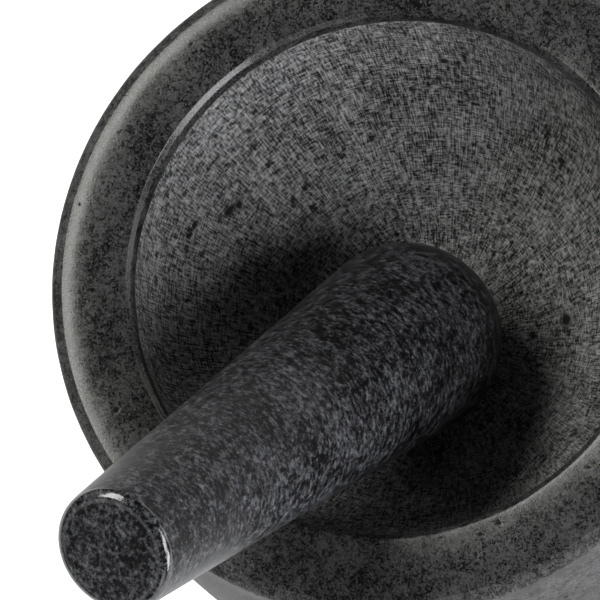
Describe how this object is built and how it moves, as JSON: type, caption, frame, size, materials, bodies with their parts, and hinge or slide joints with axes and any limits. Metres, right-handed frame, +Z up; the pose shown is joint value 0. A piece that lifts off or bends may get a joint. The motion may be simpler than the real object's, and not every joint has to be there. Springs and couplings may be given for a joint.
{
  "type": "granite molcajete",
  "caption": "Round barrel-shaped granite mortar with a ground hollow and polished rim, and a loose tapered granite pestle leaning in it.",
  "frame": {"origin": "centre of the mortar's flat base, on the surface that it stands on", "axes": "+Z up along the mortar's axis of revolution; the resting pestle leans towards -X in the XZ plane"},
  "size_m": [0.2065, 0.188, 0.1999],
  "materials": {
    "mortar_stone": "satin",
    "pestle_stone": "satin"
  },
  "bodies": {
    "mortar": {"mortar": "mortar_stone"},
    "pestle": {"pestle": "pestle_stone"}
  },
  "joints": [
    {"name": "pestle_lift", "type": "slide", "parent": "mortar", "child": "pestle", "axis": [0, 0, 1], "range_m": [0, 0.15]}
  ]
}
